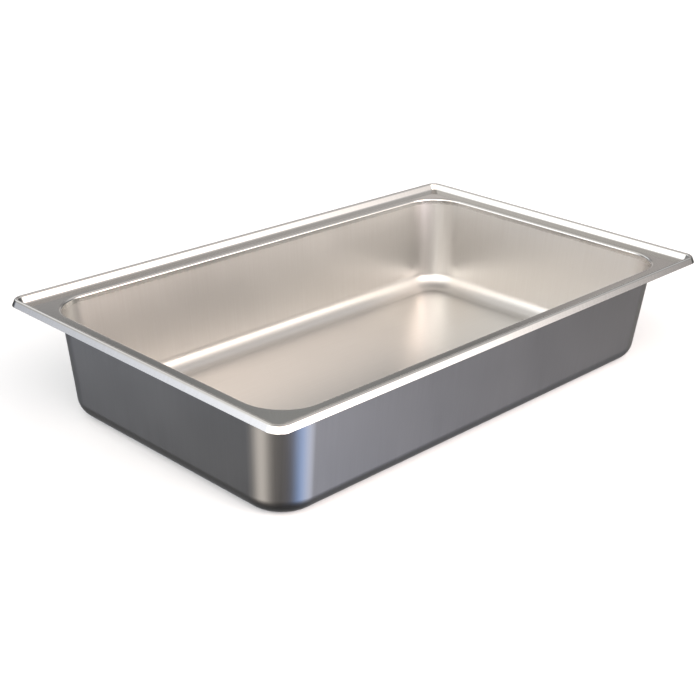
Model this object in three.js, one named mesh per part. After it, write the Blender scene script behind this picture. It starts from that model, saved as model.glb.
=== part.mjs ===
// Full-size food pan, four inches deep, drawn from one sheet of stainless steel.
// Millimetres, +Z up. The origin is under the middle of the floor, with +X along the longer side.
import * as THREE from 'three';

// Overall sizes
const panLength = 527;
const panWidth = 324;
const panDepth = 100; // from the underside of the floor to the top of the rim
const sheetThickness = 0.8;

// Rim, from its cut edge over the bead and down to the ledge that seats a lid
const skirtDrop = 5.4; // from the top of the rim down to the cut edge
const skirtFlare = 24; // degrees that the skirt leans outwards
const beadRadius = 2.2; // upper face of the rounded top of the rim
const riserSlope = 62; // degrees between the riser and the ledge
const riserFootRadius = 1.6;
const ledgeDrop = 6; // from the top of the rim down to the ledge
const ledgeWidth = 10; // flat part of the ledge along a side

// Walls and floor, seen on the inner face of the sheet
const mouthBendRadius = 2.4; // where the ledge turns down into the wall
const wallTaper = 5.4; // degrees from upright
const floorBendRadius = 17;

// Corners, seen from above
const rimCornerRadius = 12; // at the outermost edge of the rim
const mouthCornerRadius = 38; // at the inner edge of the flat ledge
const footCornerRadius = 33; // where the wall meets the bend to the floor

// Smoothness
const cornerSteps = 12;
const beadOuterSteps = 5;
const beadInnerSteps = 4;
const riserFootSteps = 4;
const mouthBendSteps = 5;
const floorBendSteps = 9;

const radians = THREE.MathUtils.degToRad;

// The sheet's section is a chain of stations on its upper face, from the cut edge to the floor.
// inset is the distance in from the outermost edge, and corner is the plan radius of the loop there.
// lean is the angle of the upper face's normal from straight up, positive towards the middle.
function station(inset, z, lean, corner) {
  return { inset, z, lean, corner };
}

// A bend is part of a circle about centre. A negative radius is a bend whose hollow faces up.
function bend(centre, radius, leanFrom, leanTo, steps, cornerAt) {
  return Array.from({ length: steps + 1 }, (_, step) => {
    const lean = THREE.MathUtils.lerp(leanFrom, leanTo, step / steps);
    const inset = centre.inset + radius * Math.sin(lean);
    const z = centre.z + radius * Math.cos(lean);
    return station(inset, z, lean, cornerAt(inset));
  });
}

function rimStations() {
  const flare = radians(skirtFlare);
  const slope = radians(riserSlope);
  const skirtLean = flare - Math.PI / 2;
  const cornerAt = (inset) => rimCornerRadius - inset;
  const edgeZ = panDepth - skirtDrop;
  const beadZ = panDepth - beadRadius;
  const skirtTopZ = beadZ + beadRadius * Math.sin(flare);
  const bead = {
    inset: (skirtTopZ - edgeZ) * Math.tan(flare) + beadRadius * Math.cos(flare),
    z: beadZ,
  };
  const footZ = panDepth - ledgeDrop + riserFootRadius;
  const riserTopZ = beadZ + beadRadius * Math.cos(slope);
  const riserFootZ = footZ - riserFootRadius * Math.cos(slope);
  const riserRun = (riserTopZ - riserFootZ) / Math.tan(slope);
  const foot = {
    inset: bead.inset + (beadRadius + riserFootRadius) * Math.sin(slope) + riserRun,
    z: footZ,
  };
  return [
    station(0, edgeZ, skirtLean, cornerAt(0)),
    ...bend(bead, beadRadius, skirtLean, 0, beadOuterSteps, cornerAt),
    ...bend(bead, beadRadius, 0, slope, beadInnerSteps, cornerAt).slice(1),
    ...bend(foot, -riserFootRadius, slope, 0, riserFootSteps, cornerAt),
  ];
}

function bodyStations(ledgeStart) {
  const taper = radians(wallTaper);
  const wallLean = Math.PI / 2 - taper;
  const ledgeEnd = ledgeStart + ledgeWidth;
  const mouth = { inset: ledgeEnd, z: panDepth - ledgeDrop - mouthBendRadius };
  const floorBendZ = sheetThickness + floorBendRadius;
  const wallTopInset = mouth.inset + mouthBendRadius * Math.cos(taper);
  const wallTopZ = mouth.z + mouthBendRadius * Math.sin(taper);
  const wallFootZ = floorBendZ - floorBendRadius * Math.sin(taper);
  const wallFootInset = wallTopInset + (wallTopZ - wallFootZ) * Math.tan(taper);
  const floorBend = { inset: wallFootInset + floorBendRadius * Math.cos(taper), z: floorBendZ };
  const mouthCornerAt = (inset) => mouthCornerRadius - (inset - ledgeEnd);
  const footCornerAt = (inset) => footCornerRadius - (inset - wallFootInset);
  return [
    ...bend(mouth, mouthBendRadius, 0, wallLean, mouthBendSteps, mouthCornerAt),
    ...bend(floorBend, -floorBendRadius, wallLean, 0, floorBendSteps, footCornerAt),
  ];
}

// The same station on the sheet's lower face, straight through the metal.
function throughSheet({ inset, z, lean, corner }) {
  const inward = sheetThickness * Math.sin(lean);
  return station(inset - inward, z - sheetThickness * Math.cos(lean), lean, corner + inward);
}

// A rounded rectangle at the station's height, anticlockwise from above.
function planLoop({ inset, z, corner }) {
  const centreX = panLength / 2 - inset - corner;
  const centreY = panWidth / 2 - inset - corner;
  const quadrants = [[1, 1], [-1, 1], [-1, -1], [1, -1]];
  return quadrants.flatMap(([signX, signY], quadrant) =>
    Array.from({ length: cornerSteps + 1 }, (_, step) => {
      const turn = (quadrant + step / cornerSteps) * Math.PI / 2;
      const x = signX * centreX + corner * Math.cos(turn);
      const y = signY * centreY + corner * Math.sin(turn);
      return new THREE.Vector3(x, y, z);
    }));
}

// A closed skin over a chain of loops with as many points each, capped at both ends.
function skin(loops) {
  const count = loops[0].length;
  const faces = [];
  for (let level = 0; level + 1 < loops.length; level += 1) {
    for (let point = 0; point < count; point += 1) {
      const next = (point + 1) % count;
      const low = level * count;
      const high = low + count;
      faces.push(low + point, low + next, high + next);
      faces.push(low + point, high + next, high + point);
    }
  }
  const lastLoop = (loops.length - 1) * count;
  const capFaces = THREE.ShapeUtils.triangulateShape(loops[0], []);
  for (const [a, b, c] of capFaces) {
    faces.push(a, c, b);
    faces.push(lastLoop + a, lastLoop + b, lastLoop + c);
  }
  const geometry = new THREE.BufferGeometry().setFromPoints(loops.flat());
  geometry.setIndex(faces);
  geometry.computeVertexNormals();
  return geometry;
}

// The lower face runs from the floor out to the cut edge, and the upper face runs back in.
function makePanShell() {
  const rim = rimStations();
  const upperFace = [...rim, ...bodyStations(rim.at(-1).inset)];
  const lowerFace = upperFace.map(throughSheet).reverse();
  const loops = [...lowerFace, ...upperFace].map(planLoop);
  const stainlessSteel = new THREE.MeshStandardMaterial({
    color: 0xb8b6b2,
    roughness: 0.3,
    metalness: 1,
  });
  const panShell = new THREE.Mesh(skin(loops), stainlessSteel);
  panShell.name = 'pan_shell';
  return panShell;
}

const foodPan = new THREE.Group();
foodPan.add(makePanShell());

export default foodPan;
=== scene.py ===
"""Visual model of a full-size deli food pan, pressed from one sheet of stainless steel.

The pan is one skin: a section of the sheet carried round a rounded rectangle. The script builds
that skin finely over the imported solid, gives it a satin stainless finish, and sets up a floor, a
studio of soft lights and a camera.
"""

from __future__ import annotations

import logging
import math
from dataclasses import dataclass, fields
from enum import Enum
from typing import Any, Sequence

import bpy
import numpy as np
from mathutils import Matrix, Vector

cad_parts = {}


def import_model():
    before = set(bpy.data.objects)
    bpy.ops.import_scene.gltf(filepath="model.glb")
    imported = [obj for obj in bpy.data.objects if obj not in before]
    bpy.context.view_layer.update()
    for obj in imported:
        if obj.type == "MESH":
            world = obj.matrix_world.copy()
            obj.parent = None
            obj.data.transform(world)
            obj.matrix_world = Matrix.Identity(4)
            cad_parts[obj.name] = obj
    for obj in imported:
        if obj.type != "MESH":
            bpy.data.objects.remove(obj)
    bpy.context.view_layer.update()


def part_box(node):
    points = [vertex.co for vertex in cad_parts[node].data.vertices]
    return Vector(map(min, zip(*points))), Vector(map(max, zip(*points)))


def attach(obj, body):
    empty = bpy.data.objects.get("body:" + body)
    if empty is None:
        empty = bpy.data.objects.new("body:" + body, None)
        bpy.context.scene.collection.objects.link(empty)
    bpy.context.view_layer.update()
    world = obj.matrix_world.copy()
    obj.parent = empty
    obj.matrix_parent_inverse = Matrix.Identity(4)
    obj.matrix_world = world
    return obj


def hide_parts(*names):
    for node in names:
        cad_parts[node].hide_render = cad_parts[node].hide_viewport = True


LOG = logging.getLogger("food_pan")
NODE = "pan_shell"
BODY = "root"
MM = 0.001

Colour = tuple[float, float, float, float]


class Mask(Enum):
    """The zones of the finish, each stored on the skin's points as a number from 0 to 1."""

    POLISH = "polish"
    FLOOR = "floor"
    OUTSIDE = "outside"


class Blend(Enum):
    """What a mix node blends: its data type, then the numbers of its two inputs and its output."""

    NUMBER = ("FLOAT", 2, 3, 0)
    COLOUR = ("RGBA", 6, 7, 2)


def linear(hex_colour: str) -> Colour:
    """Turns an sRGB hex colour into linear RGBA.

    Args:
        hex_colour: six hex digits, such as "c9c7c4".

    Returns:
        The linear red, green and blue, with an alpha of one.
    """
    channels = [int(hex_colour[i : i + 2], 16) / 255 for i in (0, 2, 4)]
    lin = [c / 12.92 if c <= 0.04045 else ((c + 0.055) / 1.055) ** 2.4 for c in channels]
    return (lin[0], lin[1], lin[2], 1.0)


def add_node(
    tree: bpy.types.NodeTree,
    kind: str,
    settings: dict[str, Any] | None = None,
    inputs: dict[str | int, Any] | None = None,
) -> bpy.types.Node:
    """Adds a shader node, sets its properties, and sets or links its inputs.

    Args:
        tree: the node tree that gets the node.
        kind: the node's type name, such as "ShaderNodeMix".
        settings: property names and values.
        inputs: socket names or numbers, each with a value or with an output socket to link from.

    Returns:
        The new node.
    """
    node = tree.nodes.new(kind)
    for name, value in (settings or {}).items():
        setattr(node, name, value)
    for key, value in (inputs or {}).items():
        if isinstance(value, bpy.types.NodeSocket):
            tree.links.new(value, node.inputs[key])
        else:
            node.inputs[key].default_value = value
    return node


def maths(tree: bpy.types.NodeTree, operation: str, *values: Any) -> bpy.types.NodeSocket:
    """Adds a node that works on numbers.

    Args:
        tree: the node tree that gets the node.
        operation: the operation's name, such as "MULTIPLY".
        values: a number or a socket for each input, in order.

    Returns:
        The result's socket.
    """
    node = add_node(tree, "ShaderNodeMath", {"operation": operation}, dict(enumerate(values)))
    return node.outputs[0]


def mix(
    tree: bpy.types.NodeTree, blend: Blend, share: Any, first: Any, second: Any
) -> bpy.types.NodeSocket:
    """Adds a node that blends two numbers or two colours.

    Args:
        tree: the node tree that gets the node.
        blend: what is blended.
        share: the second one's share, from 0 to 1, as a number or a socket.
        first: the value or socket at a share of 0.
        second: the value or socket at a share of 1.

    Returns:
        The blend's socket.
    """
    data_type, first_input, second_input, output = blend.value
    inputs = {0: share, first_input: first, second_input: second}
    return add_node(tree, "ShaderNodeMix", {"data_type": data_type}, inputs).outputs[output]


def add_mask(tree: bpy.types.NodeTree, mask: Mask) -> bpy.types.NodeSocket:
    """Adds a node that reads one of the finish's zones.

    Args:
        tree: the material's node tree.
        mask: the zone.

    Returns:
        The socket of the zone's share, from 0 to 1.
    """
    return add_node(tree, "ShaderNodeAttribute", {"attribute_name": mask.value}).outputs["Fac"]


@dataclass
class Section:
    """Stations along one face of the sheet, from the rim's cut edge to the middle of the floor.

    Each station is a loop round the pan. lean is the angle of the face's normal from straight up,
    positive towards the middle, and corner is the loop's radius in plan.
    """

    inset: np.ndarray
    z: np.ndarray
    lean: np.ndarray
    corner: np.ndarray
    polish: np.ndarray
    floor: np.ndarray

    @staticmethod
    def joined(parts: Sequence["Section"]) -> "Section":
        """Joins runs of stations end to end.

        Args:
            parts: the runs, in order.

        Returns:
            One section of all their stations.
        """
        columns = (field.name for field in fields(Section))
        return Section(
            *(np.concatenate([getattr(part, name) for part in parts]) for name in columns)
        )

    def moved_through(self, depth: float) -> "Section":
        """Moves every station through the metal, along its normal.

        Args:
            depth: how far the stations move, in metres.

        Returns:
            The moved stations, which keep their leans.
        """
        inward = depth * np.sin(self.lean)
        return Section(
            self.inset - inward,
            self.z - depth * np.cos(self.lean),
            self.lean,
            self.corner + inward,
            self.polish,
            self.floor,
        )

    def reversed(self) -> "Section":
        """Turns the run round.

        Returns:
            The same stations in the opposite order.
        """
        return Section(*(getattr(self, field.name)[::-1] for field in fields(self)))


@dataclass(frozen=True)
class PanSizes:
    """Sizes of the pressed sheet, in metres and degrees.

    Length, width and depth come from the frame. The floor's crown is how far its middle stands
    proud.
    """

    length: float
    width: float
    depth: float
    sheet: float = 0.8 * MM
    skirt_drop: float = 5.4 * MM
    skirt_flare: float = 24.0
    bead_radius: float = 2.2 * MM
    riser_slope: float = 62.0
    riser_foot_radius: float = 1.6 * MM
    ledge_drop: float = 6.0 * MM
    ledge_width: float = 10.0 * MM
    mouth_bend_radius: float = 2.4 * MM
    wall_taper: float = 5.4
    floor_bend_radius: float = 17.0 * MM
    rim_corner_radius: float = 12.0 * MM
    mouth_corner_radius: float = 38.0 * MM
    foot_corner_radius: float = 33.0 * MM
    floor_crown: float = 0.35 * MM

    @classmethod
    def from_frame(cls, node: str) -> "PanSizes":
        """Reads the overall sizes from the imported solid.

        Args:
            node: the CAD node's name.

        Returns:
            The sizes, with every other dimension at its own value.
        """
        low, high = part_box(node)
        return cls(high.x - low.x, high.y - low.y, high.z - low.z)


@dataclass
class PanShell:
    """The pressed shell: rim, ledge, walls and floor as one closed skin of even thickness.

    The floor's rings end at a small centre patch. edge_bulge is how far the cut edge's middle
    stands out, as a share of half the sheet. mouth_polish is how polished the bend from the ledge
    into the wall is.
    """

    sizes: PanSizes
    skirt_steps: int = 3
    bead_steps: int = 16
    riser_foot_steps: int = 8
    ledge_steps: int = 5
    mouth_steps: int = 14
    wall_steps: int = 16
    floor_bend_steps: int = 24
    floor_rings: int = 16
    corner_steps: int = 32
    long_side_steps: int = 20
    short_side_steps: int = 12
    nose_steps: int = 4
    edge_bulge: float = 0.35
    mouth_polish: float = 0.8
    centre_half_width: float = 2.0 * MM
    centre_corner: float = 1.0 * MM
    name: str = "pan_shell_skin"
    uv_name: str = "around_and_along"

    def _run(
        self,
        inset: np.ndarray,
        z: np.ndarray,
        lean: np.ndarray | float,
        corner: np.ndarray,
        polish: float,
        floor: float,
    ) -> Section:
        """Makes a run of stations from arrays, with single values spread over the run.

        Args:
            inset: how far in from the pan's outside each station is, in metres.
            z: each station's height.
            lean: each station's lean, or one for all of them.
            corner: each station's plan corner radius.
            polish: how polished the run is, from 0 to 1.
            floor: how far the run belongs to the floor, from 0 to 1.

        Returns:
            The run of stations.
        """
        ones = np.ones_like(inset)
        return Section(inset, z, lean * ones, corner, polish * ones, floor * ones)

    def _bend(
        self,
        centre: tuple[float, float],
        radius: float,
        lean_from: float,
        lean_to: float,
        steps: int,
        corner_at: tuple[float, float],
        polish: float,
        floor: float = 0.0,
    ) -> Section:
        """Part of a circle: centre plus radius times (sin lean, cos lean).

        Args:
            centre: inset and height of the circle's centre.
            radius: positive where the upper face is outside the bend, negative where it is inside.
            lean_from: the normal's lean at the start, in radians.
            lean_to: the normal's lean at the end, in radians.
            steps: how many steps the bend takes.
            corner_at: an inset and the plan corner radius there, which falls as the inset grows.
            polish: how polished the run is, from 0 to 1.
            floor: how far the run belongs to the floor, from 0 to 1.

        Returns:
            The run of stations.
        """
        lean = np.linspace(lean_from, lean_to, steps + 1)
        inset = centre[0] + radius * np.sin(lean)
        z = centre[1] + radius * np.cos(lean)
        corner = corner_at[1] - (inset - corner_at[0])
        return self._run(inset, z, lean, corner, polish, floor)

    def upper_face(self) -> Section:
        """Works out the whole section of the sheet's upper face.

        The skirt, riser and wall are straight, and each runs between two bends that it touches. The
        floor rises to its crown by the square of (one less the square of the share still to go).

        Returns:
            The stations from the cut edge to the middle of the floor.
        """
        s = self.sizes
        flare = math.radians(s.skirt_flare)
        slope = math.radians(s.riser_slope)
        taper = math.radians(s.wall_taper)
        skirt_lean = flare - math.pi / 2
        wall_lean = math.pi / 2 - taper
        edge_z = s.depth - s.skirt_drop
        bead_z = s.depth - s.bead_radius
        skirt_top_z = bead_z + s.bead_radius * math.sin(flare)
        bead_inset = (skirt_top_z - edge_z) * math.tan(flare) + s.bead_radius * math.cos(flare)
        foot_z = s.depth - s.ledge_drop + s.riser_foot_radius
        riser_drop = (bead_z + s.bead_radius * math.cos(slope)) - (
            foot_z - s.riser_foot_radius * math.cos(slope)
        )
        foot_inset = (
            bead_inset
            + (s.bead_radius + s.riser_foot_radius) * math.sin(slope)
            + riser_drop / math.tan(slope)
        )
        ledge_end = foot_inset + s.ledge_width
        mouth_z = s.depth - s.ledge_drop - s.mouth_bend_radius
        wall_top = ledge_end + s.mouth_bend_radius * math.cos(taper)
        wall_top_z = mouth_z + s.mouth_bend_radius * math.sin(taper)
        bend_z = s.sheet + s.floor_bend_radius
        wall_foot_z = bend_z - s.floor_bend_radius * math.sin(taper)
        wall_foot = wall_top + (wall_top_z - wall_foot_z) * math.tan(taper)
        bend_inset = wall_foot + s.floor_bend_radius * math.cos(taper)
        rim_corner = (0.0, s.rim_corner_radius)
        mouth_corner = (ledge_end, s.mouth_corner_radius)
        foot_corner = (wall_foot, s.foot_corner_radius)

        skirt_z = np.linspace(edge_z, skirt_top_z, self.skirt_steps + 1)[:-1]
        skirt_inset = (skirt_z - edge_z) * math.tan(flare)
        skirt = self._run(
            skirt_inset, skirt_z, skirt_lean, s.rim_corner_radius - skirt_inset, 1.0, 0.0
        )
        bead = self._bend(
            (bead_inset, bead_z), s.bead_radius, skirt_lean, slope, self.bead_steps, rim_corner, 1.0
        )
        foot = self._bend(
            (foot_inset, foot_z),
            -s.riser_foot_radius,
            slope,
            0.0,
            self.riser_foot_steps,
            rim_corner,
            1.0,
        )
        share = np.linspace(0.0, 1.0, self.ledge_steps + 1)[1:-1]
        ledge = self._run(
            foot_inset + share * s.ledge_width,
            np.full_like(share, s.depth - s.ledge_drop),
            0.0,
            foot.corner[-1] + share * (s.mouth_corner_radius - foot.corner[-1]),
            1.0,
            0.0,
        )
        mouth = self._bend(
            (ledge_end, mouth_z),
            s.mouth_bend_radius,
            0.0,
            wall_lean,
            self.mouth_steps,
            mouth_corner,
            self.mouth_polish,
        )
        share = np.linspace(0.0, 1.0, self.wall_steps + 1)[1:-1]
        wall = self._run(
            wall_top + share * (wall_foot - wall_top),
            wall_top_z + share * (wall_foot_z - wall_top_z),
            wall_lean,
            mouth.corner[-1] + share * (s.foot_corner_radius - mouth.corner[-1]),
            0.0,
            0.0,
        )
        bend = self._bend(
            (bend_inset, bend_z),
            -s.floor_bend_radius,
            wall_lean,
            0.0,
            self.floor_bend_steps,
            foot_corner,
            0.0,
        )
        bend.floor = np.clip(1.0 - bend.lean / wall_lean, 0.0, 1.0) ** 2
        share = np.linspace(0.0, 1.0, self.floor_rings + 1)[1:]
        middle_inset = s.width / 2 - self.centre_half_width
        floor = self._run(
            bend_inset + share * (middle_inset - bend_inset),
            s.sheet + s.floor_crown * (1.0 - (1.0 - share) ** 2) ** 2,
            0.0,
            bend.corner[-1] + share * (self.centre_corner - bend.corner[-1]),
            0.0,
            1.0,
        )
        return Section.joined([skirt, bead, foot, ledge, mouth, wall, bend, floor])

    def edge_nose(self, first: Section) -> Section:
        """A rounded cut edge between the two faces: half an ellipse across the sheet's thickness.

        Args:
            first: the upper face's section, whose first station is the edge.

        Returns:
            Stations from the lower face to the upper face, round the edge.
        """
        half = self.sizes.sheet / 2
        proud = self.edge_bulge * half
        lean = float(first.lean[0])
        angle = np.linspace(-math.pi / 2, math.pi / 2, 2 * self.nose_steps + 1)[1:-1]
        across = half * np.sin(angle)
        along = proud * np.cos(angle)
        middle = -half + across
        normal_angle = np.arctan2(np.sin(angle) / half, np.cos(angle) / proud)
        inset = first.inset[0] + middle * math.sin(lean) - along * math.cos(lean)
        z = first.z[0] + middle * math.cos(lean) + along * math.sin(lean)
        corner = first.corner[0] - (inset - first.inset[0])
        out_lean = lean - math.pi / 2 + normal_angle
        return self._run(inset, z, out_lean, corner, 1.0, 0.0)

    def plan(self) -> tuple[np.ndarray, np.ndarray, np.ndarray]:
        """The way round the pan: quarter circles at the corners and straight sides between.

        Returns:
            The share of the corner centre's x and y, and the outward angle, for each point.
        """
        signs = [(1.0, 1.0), (-1.0, 1.0), (-1.0, -1.0), (1.0, -1.0)]
        share_x, share_y, turn = [], [], []
        for quadrant, (sx, sy) in enumerate(signs):
            angle = (quadrant + np.linspace(0.0, 1.0, self.corner_steps + 1)) * math.pi / 2
            share_x.append(np.full_like(angle, sx))
            share_y.append(np.full_like(angle, sy))
            turn.append(angle)
            next_x, next_y = signs[(quadrant + 1) % 4]
            steps = self.long_side_steps if next_x != sx else self.short_side_steps
            along = np.linspace(0.0, 1.0, steps + 1)[1:-1]
            share_x.append(sx + along * (next_x - sx))
            share_y.append(sy + along * (next_y - sy))
            turn.append(np.full_like(along, (quadrant + 1) * math.pi / 2))
        return np.concatenate(share_x), np.concatenate(share_y), np.concatenate(turn)

    def surface(self, section: Section) -> tuple[np.ndarray, np.ndarray]:
        """Carries a section round the plan.

        A point is the corner centre's share plus the corner radius along the outward angle. Its
        normal is the station's lean, turned to the outward angle.

        Args:
            section: the stations.

        Returns:
            Points and normals, each as an array of stations by plan points by three.
        """
        share_x, share_y, turn = self.plan()
        s = self.sizes
        centre_x = (s.length / 2 - section.inset - section.corner)[:, None]
        centre_y = (s.width / 2 - section.inset - section.corner)[:, None]
        corner = section.corner[:, None]
        x = share_x[None] * centre_x + corner * np.cos(turn)[None]
        y = share_y[None] * centre_y + corner * np.sin(turn)[None]
        z = np.broadcast_to(section.z[:, None], x.shape)
        outward = -np.sin(section.lean)[:, None]
        normal = np.stack(
            [
                outward * np.cos(turn)[None],
                outward * np.sin(turn)[None],
                np.broadcast_to(np.cos(section.lean)[:, None], x.shape),
            ],
            -1,
        )
        return np.stack([x, y, z], -1), normal

    def build(self) -> bpy.types.Object:
        """Builds the closed skin, with its normals, UV map and finish masks.

        The lower face runs from the floor out to the cut edge, and the upper face runs back in.

        Returns:
            The mesh object.
        """
        upper = self.upper_face()
        lower = upper.moved_through(self.sizes.sheet).reversed()
        nose = self.edge_nose(upper)
        section = Section.joined([lower, nose, upper])
        points, normals = self.surface(section)
        lower_count = len(lower.inset)
        normals[:lower_count] *= -1.0
        rows, columns = points.shape[:2]
        index = np.arange(rows * columns).reshape(rows, columns)
        around = np.roll(index, -1, axis=1)
        quads = np.stack([index[:-1], around[:-1], around[1:], index[1:]], -1).reshape(-1, 4)
        faces = quads.tolist() + [index[0, ::-1].tolist(), index[-1].tolist()]

        mesh = bpy.data.meshes.new(self.name)
        mesh.from_pydata(points.reshape(-1, 3).tolist(), [], faces)
        mesh.polygons.foreach_set("use_smooth", np.ones(len(faces), dtype=bool))
        self._add_masks(mesh, section, columns, lower_count)
        mouth_row = lower_count + len(nose.inset) + int(np.argmax(upper.polish < 1.0))
        self._add_uv(mesh, points, mouth_row)
        mesh.validate()
        mesh.normals_split_custom_set_from_vertices(normals.reshape(-1, 3).tolist())
        shell = bpy.data.objects.new(self.name, mesh)
        bpy.context.scene.collection.objects.link(shell)
        return shell

    def _add_masks(
        self, mesh: bpy.types.Mesh, section: Section, columns: int, lower_count: int
    ) -> None:
        """Stores how polished each point is, and how far it belongs to the floor or to the outside.

        Args:
            mesh: the shell's mesh.
            section: the stations of the whole skin.
            columns: how many points there are round the pan.
            lower_count: how many stations the lower face has; they come first.
        """
        outside = np.zeros(len(section.inset))
        outside[:lower_count] = 1.0
        for mask, values in (
            (Mask.POLISH, section.polish),
            (Mask.FLOOR, section.floor),
            (Mask.OUTSIDE, outside),
        ):
            layer = mesh.attributes.new(mask.value, "FLOAT", "POINT")
            layer.data.foreach_set("value", np.repeat(values, columns).astype(np.float32))

    def _add_uv(self, mesh: bpy.types.Mesh, points: np.ndarray, mouth_row: int) -> None:
        """Lays out a UV map in metres, in which a line of constant u runs straight up a wall.

        u is the distance round the pan at its mouth, and v is the distance along the section.

        Args:
            mesh: the shell's mesh, with its quads first.
            points: the surface points, as stations by plan points by three.
            mouth_row: the station at the top of the wall.
        """
        rows, columns = points.shape[:2]
        mouth = points[mouth_row]
        steps_round = np.linalg.norm(np.roll(mouth, -1, axis=0) - mouth, axis=-1)
        steps_along = np.linalg.norm(np.diff(points[:, 0], axis=0), axis=-1)
        u = np.concatenate([[0.0], np.cumsum(steps_round)])
        v = np.concatenate([[0.0], np.cumsum(steps_along)])
        corners = np.empty(len(mesh.loops), dtype=np.int64)
        mesh.loops.foreach_get("vertex_index", corners)
        row, column = corners // columns, corners % columns
        quad_loops = 4 * (rows - 1) * columns
        in_last_column = np.arange(quad_loops) // 4 % columns == columns - 1
        column[:quad_loops][in_last_column & (column[:quad_loops] == 0)] = columns
        layer = mesh.uv_layers.new(name=self.uv_name)
        uv = np.stack([u[column], v[row]], -1)
        layer.data.foreach_set("uv", uv.astype(np.float32).ravel())


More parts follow.
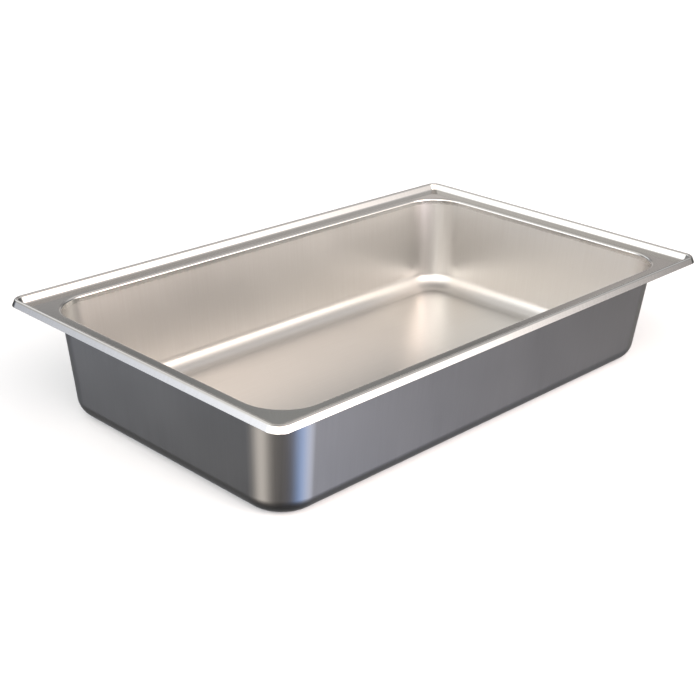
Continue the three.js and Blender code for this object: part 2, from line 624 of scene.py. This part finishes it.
@dataclass(frozen=True)
class SatinStainless:
    """Type 304 stainless sheet, drawn in a press and then satin-polished.

    The eye gets a soft grey mirror: blurred reflections on the walls and floor, faint draw lines up
    the walls, a faint rolled grain along the floor, slow cloudiness from the polishing, a few small
    nicks from use, and a sharper shine on the rim, which is buffed.

    The real lines are about 0.2 mm apart and far shallower than here. They are drawn coarser, so
    that they show at arm's length. In a line the steel is a little darker: partly the streaky tone
    of drawn steel, partly painted shade in the line's groove. A nick is nick_depth times as deep
    as a line, and its flat middle is nick_flat of its radius. Unevenness is the share by which the
    roughness varies.
    """

    name: str = "satin_stainless_304"
    steel: str = "d0cfcd"
    # The darker steel in the draw lines: partly their own tone, partly painted shade in the
    # grooves.
    steel_in_lines_with_painted_shade: str = "c9c7c4"
    body_roughness: float = 0.33
    rim_roughness: float = 0.1
    line_spacing: float = 1.6 * MM
    line_length: float = 70.0 * MM
    line_height: float = 0.012 * MM
    cloud_size: float = 45.0 * MM
    nick_spacing: float = 34.0 * MM
    nick_radius: float = 0.45 * MM
    nick_share: float = 0.35
    nick_depth: float = 6.0
    nick_flat: float = 0.3
    cloud_unevenness: float = 0.12
    line_unevenness: float = 0.16

    def build(self, uv_name: str) -> bpy.types.Material:
        """Builds the material's nodes.

        Args:
            uv_name: the UV map in metres, with u round the pan and v along the section.

        Returns:
            The material.
        """
        material = bpy.data.materials.new(self.name)
        material.use_nodes = True
        tree = material.node_tree
        tree.nodes.clear()
        polish = add_mask(tree, Mask.POLISH)
        outside = add_mask(tree, Mask.OUTSIDE)
        place = add_node(tree, "ShaderNodeTexCoord").outputs["Object"]
        lines = self._lines(tree, uv_name, place)
        nicks = self._nicks(tree, place, outside)
        # The draw lines get the darker steel: partly the streaky tone of drawn steel, partly
        # painted shade in their grooves.
        steel = mix(tree, Blend.COLOUR, lines, linear(self.steel_in_lines_with_painted_shade), linear(self.steel))
        relief = maths(tree, "MULTIPLY_ADD", nicks, -self.nick_depth, lines)
        bump = add_node(
            tree,
            "ShaderNodeBump",
            inputs={"Strength": 1.0, "Distance": self.line_height, "Height": relief},
        )
        shader = add_node(
            tree,
            "ShaderNodeBsdfPrincipled",
            inputs={
                "Base Color": steel,
                "Metallic": 1.0,
                "Roughness": self._roughness(tree, place, lines, polish),
                "Normal": bump.outputs["Normal"],
            },
        )
        add_node(tree, "ShaderNodeOutputMaterial", inputs={"Surface": shader.outputs["BSDF"]})
        return material

    def _lines(
        self, tree: bpy.types.NodeTree, uv_name: str, place: bpy.types.NodeSocket
    ) -> bpy.types.NodeSocket:
        """Draw lines up the walls, which turn into grain along the pan's length on the floor.

        Args:
            tree: the material's node tree.
            uv_name: the UV map in metres.
            place: Object coordinates.

        Returns:
            The socket of the pattern, from 0 in a line to 1 between lines.
        """
        across, along = 1.0 / self.line_spacing, 1.0 / self.line_length
        floor = add_mask(tree, Mask.FLOOR)
        metres = add_node(tree, "ShaderNodeUVMap", {"uv_map": uv_name})
        patterns = []
        for vector, scale in (
            (metres.outputs["UV"], (across, along, 1.0)),
            (place, (along, across, along)),
        ):
            stretched = add_node(
                tree, "ShaderNodeMapping", inputs={"Vector": vector, "Scale": scale}
            )
            noise = add_node(
                tree,
                "ShaderNodeTexNoise",
                inputs={
                    "Vector": stretched.outputs[0],
                    "Scale": 1.0,
                    "Detail": 2.0,
                    "Roughness": 0.6,
                },
            )
            patterns.append(noise.outputs["Fac"])
        return mix(tree, Blend.NUMBER, floor, *patterns)

    def _nicks(
        self, tree: bpy.types.NodeTree, place: bpy.types.NodeSocket, outside: bpy.types.NodeSocket
    ) -> bpy.types.NodeSocket:
        """Small round nicks, scattered over the outside, one in some of the cells of a Voronoi.

        Args:
            tree: the material's node tree.
            place: Object coordinates.
            outside: the mask of the outer face.

        Returns:
            The socket of the pattern, 1 in a nick and 0 elsewhere.
        """
        cells = add_node(
            tree,
            "ShaderNodeTexVoronoi",
            inputs={"Vector": place, "Scale": 1.0 / self.nick_spacing, "Randomness": 1.0},
        )
        radius = self.nick_radius / self.nick_spacing
        spot = add_node(
            tree,
            "ShaderNodeMapRange",
            inputs={
                "Value": cells.outputs["Distance"],
                "From Min": radius,
                "From Max": self.nick_flat * radius,
            },
        )
        dice = add_node(tree, "ShaderNodeSeparateColor", inputs={"Color": cells.outputs["Color"]})
        chosen = maths(tree, "LESS_THAN", dice.outputs["Red"], self.nick_share)
        spotted = maths(tree, "MULTIPLY", spot.outputs[0], chosen)
        return maths(tree, "MULTIPLY", spotted, outside)

    def _roughness(
        self,
        tree: bpy.types.NodeTree,
        place: bpy.types.NodeSocket,
        lines: bpy.types.NodeSocket,
        polish: bpy.types.NodeSocket,
    ) -> bpy.types.NodeSocket:
        """The roughness of each zone, a little uneven from the polishing and along the lines.

        Args:
            tree: the material's node tree.
            place: Object coordinates.
            lines: the pattern of draw lines.
            polish: the mask of the buffed rim.

        Returns:
            The socket of the roughness.
        """
        clouds = add_node(
            tree,
            "ShaderNodeTexNoise",
            inputs={
                "Vector": place,
                "Scale": 1.0 / self.cloud_size,
                "Detail": 1.0,
                "Roughness": 0.5,
            },
        )
        rough = mix(tree, Blend.NUMBER, polish, self.body_roughness, self.rim_roughness)
        for pattern, unevenness in (
            (clouds.outputs["Fac"], self.cloud_unevenness),
            (lines, self.line_unevenness),
        ):
            factor = maths(tree, "MULTIPLY_ADD", pattern, unevenness, 1.0 - unevenness / 2)
            rough = maths(tree, "MULTIPLY", rough, factor)
        return rough


@dataclass(frozen=True)
class PaleFloor:
    """A plain pale matt floor.

    The steel doesn't mirror it. Below the horizon it mirrors the studio's own glows, which stand
    for the grey table top that such a pan is lit on.
    """

    half_size: float = 12.0
    colour: str = "f0f4f8"

    def build(self) -> bpy.types.Object:
        """Builds the floor, a large square whose surface is level with the pan's base.

        Returns:
            The floor object.
        """
        h = self.half_size
        mesh = bpy.data.meshes.new("floor")
        mesh.from_pydata([(-h, -h, 0), (h, -h, 0), (h, h, 0), (-h, h, 0)], [], [(0, 1, 2, 3)])
        material = bpy.data.materials.new("matt_pale_board")
        material.use_nodes = True
        tree = material.node_tree
        tree.nodes.clear()
        board = add_node(tree, "ShaderNodeBsdfDiffuse", inputs={"Color": linear(self.colour)})
        add_node(tree, "ShaderNodeOutputMaterial", inputs={"Surface": board.outputs["BSDF"]})
        mesh.materials.append(material)
        floor = bpy.data.objects.new("floor", mesh)
        floor.visible_glossy = False
        floor.visible_shadow = False
        bpy.context.scene.collection.objects.link(floor)
        return floor


@dataclass(frozen=True)
class StudioCamera:
    """A camera in front of the near left corner, above the rim, looking down into the pan.

    Its angles are in degrees, its lens and sensor in millimetres and its other distances in metres.
    """

    azimuth: float = -46.24
    elevation: float = 23.19
    roll: float = 1.64
    distance: float = 1.1345
    slide: tuple[float, float] = (-0.0214, -0.0646)
    lens: float = 67.53
    sensor: float = 36.0

    def build(self, sizes: PanSizes) -> bpy.types.Object:
        """Places the camera and makes it the scene's camera.

        Args:
            sizes: the pan's sizes; the camera is placed from the middle of the rim's top.

        Returns:
            The camera object.
        """
        a, e, r = (math.radians(v) for v in (self.azimuth, self.elevation, self.roll))
        back = Vector((math.sin(a) * math.cos(e), -math.cos(a) * math.cos(e), math.sin(e)))
        level_right = Vector((math.cos(a), math.sin(a), 0.0))
        level_up = back.cross(level_right)
        right = level_right * math.cos(r) + level_up * math.sin(r)
        up = level_up * math.cos(r) - level_right * math.sin(r)
        target = Vector((0.0, 0.0, sizes.depth))
        place = target + back * self.distance + right * self.slide[0] + up * self.slide[1]
        data = bpy.data.cameras.new("camera")
        data.lens = self.lens
        data.sensor_width = self.sensor
        data.clip_end = 100.0
        camera = bpy.data.objects.new("camera", data)
        camera.matrix_world = Matrix(
            (
                (right.x, up.x, back.x, place.x),
                (right.y, up.y, back.y, place.y),
                (right.z, up.z, back.z, place.z),
                (0.0, 0.0, 0.0, 1.0),
            )
        )
        bpy.context.scene.collection.objects.link(camera)
        bpy.context.scene.camera = camera
        return camera


def towards(azimuth: float, elevation: float) -> tuple[float, float, float]:
    """Works out the direction of a light.

    Args:
        azimuth: degrees round from +Y towards -X.
        elevation: degrees up from the horizon.

    Returns:
        The unit vector towards the light.
    """
    a, e = math.radians(azimuth), math.radians(elevation)
    return (-math.sin(a) * math.cos(e), math.cos(a) * math.cos(e), math.sin(e))


@dataclass(frozen=True)
class Glow:
    """A soft round patch of light in the studio's surround.

    Its share is exp(sharpness times (cosine of the angle from its centre, less one)), so it is full
    at the centre, half at the spread angle, and fades smoothly.
    """

    name: str
    azimuth: float
    elevation: float
    spread: float
    colour: str
    strength: float

    def share(
        self, tree: bpy.types.NodeTree, direction: bpy.types.NodeSocket
    ) -> bpy.types.NodeSocket:
        """Works out how much of the glow is seen along a direction.

        Args:
            tree: the world's node tree.
            direction: the unit vector that is being looked along.

        Returns:
            The socket of the share, from 0 to 1.
        """
        sharpness = math.log(2.0) / (1.0 - math.cos(math.radians(self.spread)))
        cosine = add_node(
            tree,
            "ShaderNodeVectorMath",
            {"operation": "DOT_PRODUCT"},
            {0: direction, 1: towards(self.azimuth, self.elevation)},
        )
        exponent = maths(tree, "MULTIPLY_ADD", cosine.outputs["Value"], sharpness, -sharpness)
        return maths(tree, "EXPONENT", exponent)


@dataclass(frozen=True)
class Screen:
    """A wide screen that stands upright beyond the table, with a straight top edge.

    Its share rises and falls smoothly over edge degrees at its bottom and top, and fades to the
    sides as a glow does, with half of it left half_width degrees from the middle.
    """

    name: str
    azimuth: float
    half_width: float
    bottom: float
    top: float
    edge: float
    colour: str
    strength: float

    def share(
        self, tree: bpy.types.NodeTree, direction: bpy.types.NodeSocket
    ) -> bpy.types.NodeSocket:
        """Works out how much of the screen is seen along a direction.

        Args:
            tree: the world's node tree.
            direction: the unit vector that is being looked along.

        Returns:
            The socket of the share, from 0 to 1.
        """
        height = add_node(tree, "ShaderNodeSeparateXYZ", inputs={"Vector": direction})
        middle = Glow(self.name, self.azimuth, 0.0, self.half_width, self.colour, self.strength)
        share = middle.share(tree, direction)
        for limit, outward in ((self.bottom, -1.0), (self.top, 1.0)):
            ends = [
                math.sin(math.radians(limit + side * self.edge)) for side in (-outward, outward)
            ]
            kept = add_node(
                tree,
                "ShaderNodeMapRange",
                {"interpolation_type": "SMOOTHSTEP"},
                {
                    "Value": height.outputs["Z"],
                    "From Min": ends[0],
                    "From Max": ends[1],
                    "To Min": 1.0,
                    "To Max": 0.0,
                },
            )
            share = maths(tree, "MULTIPLY", share, kept.outputs[0])
        return share


@dataclass(frozen=True)
class Studio:
    """The surround: soft screens round a table, seen only in the steel, and a plain pale backdrop.

    The near left corner of the pan faces azimuth 135. Glows below the horizon are the table top.
    """

    backdrop: str = "ffffff"
    screens: tuple[Screen, ...] = (
        Screen("back_screen", -46.0, 20.0, 9.0, 21.2, 1.2, "fff6f0", 0.95),
    )
    glows: tuple[Glow, ...] = (
        Glow("right_screen_near", 180.0, 6.0, 12.0, "f4ecff", 4.8),
        Glow("right_screen_amber", -167.0, 24.0, 13.0, "ffe2c2", 4.6),
        Glow("right_screen_middle", -158.0, 6.0, 12.0, "fff0e4", 4.0),
        Glow("right_screen_far", -144.0, 10.0, 12.0, "fffaf8", 2.8),
        Glow("right_upper", 180.0, 30.0, 24.0, "fff4f0", 3.0),
        Glow("right_upper_far", -138.0, 30.0, 14.0, "fffbf8", 0.75),
        Glow("front_upper", 120.0, 30.0, 24.0, "fff7ee", 3.3),
        Glow("front_low", 135.0, 6.0, 12.0, "ffffff", 1.5),
        Glow("left_screen", 67.0, 6.0, 12.0, "f6f8ff", 2.6),
        Glow("left_upper", 80.0, 30.0, 24.0, "fffcf8", 1.45),
        Glow("left_low", 45.0, -6.0, 12.0, "e8efff", 1.75),
        Glow("left_lip", 49.0, 28.0, 13.0, "fdffff", 1.3),
        Glow("back_left", -9.0, 27.0, 12.0, "f4faff", 1.05),
        Glow("back_high", 5.0, 48.0, 18.0, "fffcf8", 1.1),
        Glow("overhead", -75.0, 58.0, 22.0, "fff9f6", 0.95),
        Glow("back_middle", -45.0, 32.0, 8.0, "fbfffb", 0.26),
        Glow("back_right", -98.0, 32.0, 13.0, "f6fdff", 0.5),
        Glow("table_right", -149.0, -34.0, 11.0, "e8edff", 1.25),
        Glow("table_blue", -173.0, -34.0, 10.0, "7db6ff", 1.25),
        Glow("table_front", 84.0, -34.0, 12.0, "fff7ee", 1.25),
        Glow("table_back", -45.0, -28.0, 30.0, "eef1f6", 0.3),
        Glow("table_left", 22.0, -12.0, 9.0, "dfe8ff", 0.3),
        Glow("table_far_right", -100.0, -12.0, 14.0, "fdfff4", 0.15),
    )
    table: str = "7d8796"
    table_level: float = 0.02

    def build(self) -> bpy.types.World:
        """Builds the world that lights the pan.

        Returns:
            The world, set as the scene's.
        """
        world = bpy.data.worlds.new("studio")
        world.use_nodes = True
        tree = world.node_tree
        tree.nodes.clear()
        place = add_node(tree, "ShaderNodeTexCoord")
        direction = add_node(
            tree,
            "ShaderNodeVectorMath",
            {"operation": "NORMALIZE"},
            {0: place.outputs["Generated"]},
        )
        total: Any = tuple(c * self.table_level for c in linear(self.table)[:3])
        for light in self.screens + self.glows:
            total = self._add_light(tree, light, direction.outputs[0], total)
        straight = add_node(tree, "ShaderNodeLightPath").outputs["Is Camera Ray"]
        seen = mix(tree, Blend.COLOUR, straight, total, linear(self.backdrop))
        background = add_node(tree, "ShaderNodeBackground", inputs={"Color": seen})
        surface = background.outputs["Background"]
        add_node(tree, "ShaderNodeOutputWorld", inputs={"Surface": surface})
        bpy.context.scene.world = world
        return world

    def _add_light(
        self,
        tree: bpy.types.NodeTree,
        light: Screen | Glow,
        direction: bpy.types.NodeSocket,
        total: Any,
    ) -> bpy.types.NodeSocket:
        """Adds one light to the light so far.

        Args:
            tree: the world's node tree.
            light: the screen or glow.
            direction: the unit vector that is being looked along.
            total: the light so far, as a socket or a colour.

        Returns:
            The socket of the new total.
        """
        tint = tuple(c * light.strength for c in linear(light.colour)[:3])
        share = light.share(tree, direction)
        scaled = add_node(tree, "ShaderNodeVectorMath", {"operation": "SCALE"}, {0: tint, 3: share})
        added = add_node(
            tree, "ShaderNodeVectorMath", {"operation": "ADD"}, {0: scaled.outputs[0], 1: total}
        )
        return added.outputs[0]


def main() -> None:
    """Builds the pan's skin, its finish, the floor, the studio and the camera, in that order."""
    logging.basicConfig(level=logging.INFO, format="%(message)s")
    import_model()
    sizes = PanSizes.from_frame(NODE)

    pan = PanShell(sizes)
    shell = pan.build()
    shell.data.materials.append(SatinStainless().build(pan.uv_name))
    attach(shell, BODY)
    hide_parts(NODE)
    LOG.info("pan shell: %d faces", len(shell.data.polygons))

    PaleFloor().build()
    Studio().build()
    StudioCamera().build(sizes)
    bpy.context.scene.view_settings.view_transform = "Standard"
    LOG.info("floor, studio and camera are in place")


if __name__ == "__main__":
    main()
